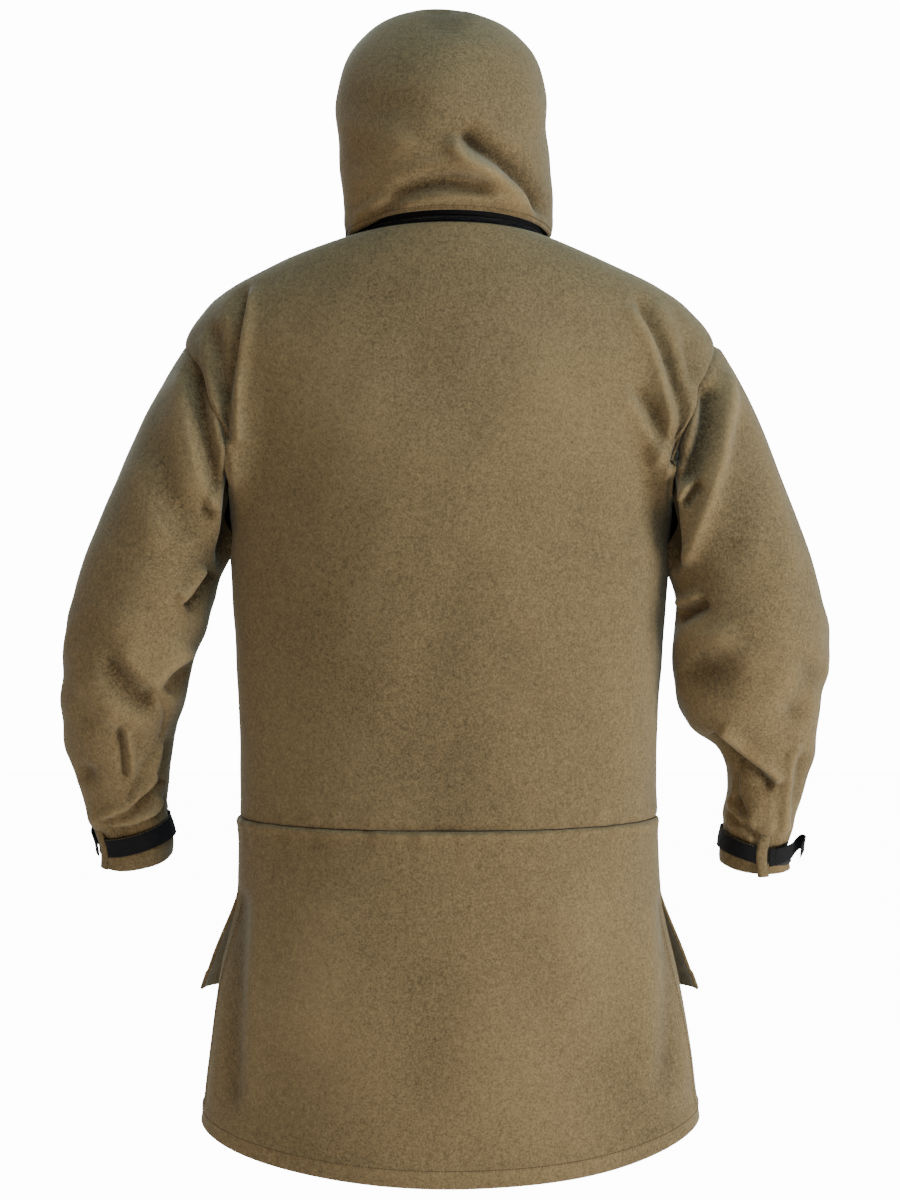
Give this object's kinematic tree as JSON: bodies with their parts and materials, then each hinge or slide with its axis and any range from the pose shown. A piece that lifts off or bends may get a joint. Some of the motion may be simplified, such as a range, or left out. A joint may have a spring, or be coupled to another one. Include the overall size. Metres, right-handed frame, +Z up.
{
  "type": "hooded fleece smock",
  "caption": "Thick fleece smock with a zip-on hood, half zip, pouch pocket, webbing cuff tabs, side vents and a long dropped tail, held in its worn shape.",
  "frame": {"origin": "centre of the tilted neck ring, where the hood zips to the body", "axes": "+Z up along the garment, +X to the wearer's left, +Y to the back, so the front faces -Y"},
  "size_m": [0.8038, 0.3018, 1.1961],
  "materials": {
    "fleece": "thick brushed fleece, olive brown",
    "facing": "brushed fleece facing",
    "webbing": "black woven webbing",
    "zip_tape": "black woven zip tape",
    "zip_coil": "black moulded coil",
    "zip_metal": "dark coated zinc",
    "hook_tape": "black hook tape"
  },
  "bodies": {
    "garment": {"back_panel": "fleece", "front_panel": "fleece", "stand_collar": "facing", "hanging_loop": "webbing", "hood_zip_tape_lower": "zip_tape", "hood_zip_tape_upper": "zip_tape", "hood_zip_coil_lower": "zip_coil", "hood_zip_coil_upper": "zip_coil", "hood_zip_stop_left": "zip_metal", "hood_zip_stop_right": "zip_metal", "front_zip_tape_left": "zip_tape", "front_zip_tape_right": "zip_tape", "front_zip_coil_left": "zip_coil", "front_zip_coil_right": "zip_coil", "front_zip_bottom_stop": "zip_metal", "pouch_pocket": "fleece"},
    "hood": {"hood_crown": "fleece", "hood_brim": "fleece", "hood_neck": "fleece"},
    "hood_zip_slider": {"hood_zip_slider": "zip_metal"},
    "hood_zip_puller": {"hood_zip_puller": "zip_metal"},
    "front_zip_slider": {"front_zip_slider": "zip_metal"},
    "front_zip_puller": {"front_zip_puller": "zip_metal"},
    "pocket_flap": {"pocket_flap": "fleece"},
    "tail": {"tail_panel": "fleece"},
    "front_skirt": {"front_skirt_panel": "fleece"},
    "sleeve_left": {"sleeve_head_left": "fleece", "sleeve_outer_left": "fleece", "sleeve_under_left": "fleece", "cuff_left": "fleece", "cuff_band_left": "webbing", "cuff_seam_strip_left": "fleece", "cuff_hook_patch_left": "hook_tape"},
    "cuff_tab_left": {"cuff_tab_left": "webbing"},
    "sleeve_right": {"sleeve_head_right": "fleece", "sleeve_outer_right": "fleece", "sleeve_under_right": "fleece", "cuff_right": "fleece", "cuff_band_right": "webbing", "cuff_seam_strip_right": "fleece", "cuff_hook_patch_right": "hook_tape"},
    "cuff_tab_right": {"cuff_tab_right": "webbing"}
  },
  "joints": [
    {"name": "hood_tilt", "type": "hinge", "parent": "garment", "child": "hood", "pos_m": [0, 0, 0.012], "axis": [-1, 0, 0], "range_deg": [-10, 25], "deforming": ["hood_neck"]},
    {"name": "hood_zip_run", "type": "hinge", "parent": "garment", "child": "hood_zip_slider", "pos_m": [0, 0, 0], "axis": [0, -0.2079, 0.9781], "range_deg": [0, 316]},
    {"name": "hood_puller_swing", "type": "hinge", "parent": "hood_zip_slider", "child": "hood_zip_puller", "pos_m": [0.03688, -0.09292, -0.02139], "axis": [0, 0.2079, -0.9781], "range_deg": [0, 150]},
    {"name": "front_zip_run", "type": "slide", "parent": "garment", "child": "front_zip_slider", "axis": [0, -0.1321, -0.9912], "range_m": [0, 0.29]},
    {"name": "front_puller_swing", "type": "hinge", "parent": "front_zip_slider", "child": "front_zip_puller", "pos_m": [0, -0.10012, 0.01138], "axis": [-1, 0, 0], "range_deg": [0, 150]},
    {"name": "sleeve_raise_left", "type": "hinge", "parent": "garment", "child": "sleeve_left", "pos_m": [0.262, 0, -0.23], "axis": [0, -1, 0], "range_deg": [0, 35], "deforming": ["sleeve_head_left"]},
    {"name": "sleeve_raise_right", "type": "hinge", "parent": "garment", "child": "sleeve_right", "pos_m": [-0.262, 0, -0.23], "axis": [0, 1, 0], "range_deg": [0, 35], "deforming": ["sleeve_head_right"]},
    {"name": "cuff_tab_peel_left", "type": "hinge", "parent": "sleeve_left", "child": "cuff_tab_left", "pos_m": [0.37243, -0.01104, -0.6319], "axis": [0.1435, 0.2389, 0.9604], "range_deg": [-4, 110]},
    {"name": "cuff_tab_peel_right", "type": "hinge", "parent": "sleeve_right", "child": "cuff_tab_right", "pos_m": [-0.33363, 0.01617, -0.63263], "axis": [0.0919, -0.2478, -0.9644], "range_deg": [-4, 110]},
    {"name": "pocket_flap_lift", "type": "hinge", "parent": "garment", "child": "pocket_flap", "pos_m": [0, -0.1415, -0.4005], "axis": [-1, 0, 0], "range_deg": [0, 110]},
    {"name": "tail_lift", "type": "hinge", "parent": "garment", "child": "tail", "pos_m": [0, 0.06, -0.64], "axis": [1, 0, 0], "range_deg": [0, 25], "deforming": ["tail_panel"]},
    {"name": "front_skirt_lift", "type": "hinge", "parent": "garment", "child": "front_skirt", "pos_m": [0, -0.06, -0.64], "axis": [-1, 0, 0], "range_deg": [0, 25], "deforming": ["front_skirt_panel"]}
  ]
}
